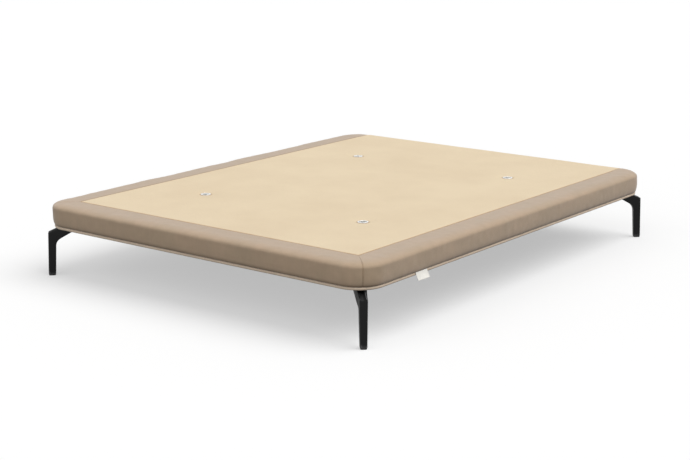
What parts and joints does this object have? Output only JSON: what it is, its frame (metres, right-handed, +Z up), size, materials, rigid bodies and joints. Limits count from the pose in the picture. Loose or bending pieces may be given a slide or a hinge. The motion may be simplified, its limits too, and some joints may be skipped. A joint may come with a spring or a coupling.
{
  "type": "box spring",
  "caption": "Low upholstered mattress base with a cream vented top panel, taupe fabric borders and slim black metal corner legs.",
  "frame": {"origin": "on the floor, under the centre of the base", "axes": "+X across the foot end, +Y from the foot end to the head end, +Z up"},
  "size_m": [1.5, 1.9, 0.277],
  "materials": {
    "frame_wood": "sawn softwood, unfinished",
    "deck_board": "pressed fibre board, smooth",
    "foam": "open-cell polyurethane foam",
    "border_fabric": "taupe brushed microfibre, matte",
    "panel_fabric": "cream non-slip woven fabric, matte",
    "piping_fabric": "light beige covered cord",
    "dust_cloth": "thin black non-woven cloth",
    "label_cloth": "ivory woven tape, bare",
    "leg_metal": "satin black powder coat on cast metal",
    "vent_metal": "bright plated",
    "glide_plastic": "black, fine grain",
    "screw_steel": "zinc plated"
  },
  "bodies": {
    "root": {"rail_foot": "frame_wood", "rail_head": "frame_wood", "rail_left": "frame_wood", "rail_right": "frame_wood", "corner_block_foot_right": "frame_wood", "corner_block_head_right": "frame_wood", "corner_block_head_left": "frame_wood", "corner_block_foot_left": "frame_wood", "cross_bar_1": "frame_wood", "cross_bar_2": "frame_wood", "cross_bar_3": "frame_wood", "cross_bar_4": "frame_wood", "cross_bar_5": "frame_wood", "deck_board_foot": "deck_board", "deck_board_head": "deck_board", "top_foam": "foam", "edge_foam_right": "foam", "edge_foam_head": "foam", "edge_foam_left": "foam", "edge_foam_foot": "foam", "border_foot": "border_fabric", "border_right": "border_fabric", "border_left": "border_fabric", "border_head": "border_fabric", "top_panel": "panel_fabric", "piping": "piping_fabric", "dust_cover": "dust_cloth", "label": "label_cloth", "vent_rim_foot_right": "vent_metal", "vent_screen_foot_right": "vent_metal", "vent_back_ring_foot_right": "vent_metal", "vent_rim_head_right": "vent_metal", "vent_screen_head_right": "vent_metal", "vent_back_ring_head_right": "vent_metal", "vent_rim_head_left": "vent_metal", "vent_screen_head_left": "vent_metal", "vent_back_ring_head_left": "vent_metal", "vent_rim_foot_left": "vent_metal", "vent_screen_foot_left": "vent_metal", "vent_back_ring_foot_left": "vent_metal", "leg_foot_right": "leg_metal", "foot_glide_foot_right": "glide_plastic", "leg_screw_foot_right_1": "screw_steel", "leg_screw_foot_right_2": "screw_steel", "leg_screw_foot_right_3": "screw_steel", "leg_head_right": "leg_metal", "foot_glide_head_right": "glide_plastic", "leg_screw_head_right_1": "screw_steel", "leg_screw_head_right_2": "screw_steel", "leg_screw_head_right_3": "screw_steel", "leg_head_left": "leg_metal", "foot_glide_head_left": "glide_plastic", "leg_screw_head_left_1": "screw_steel", "leg_screw_head_left_2": "screw_steel", "leg_screw_head_left_3": "screw_steel", "leg_foot_left": "leg_metal", "foot_glide_foot_left": "glide_plastic", "leg_screw_foot_left_1": "screw_steel", "leg_screw_foot_left_2": "screw_steel", "leg_screw_foot_left_3": "screw_steel"}
  },
  "joints": []
}
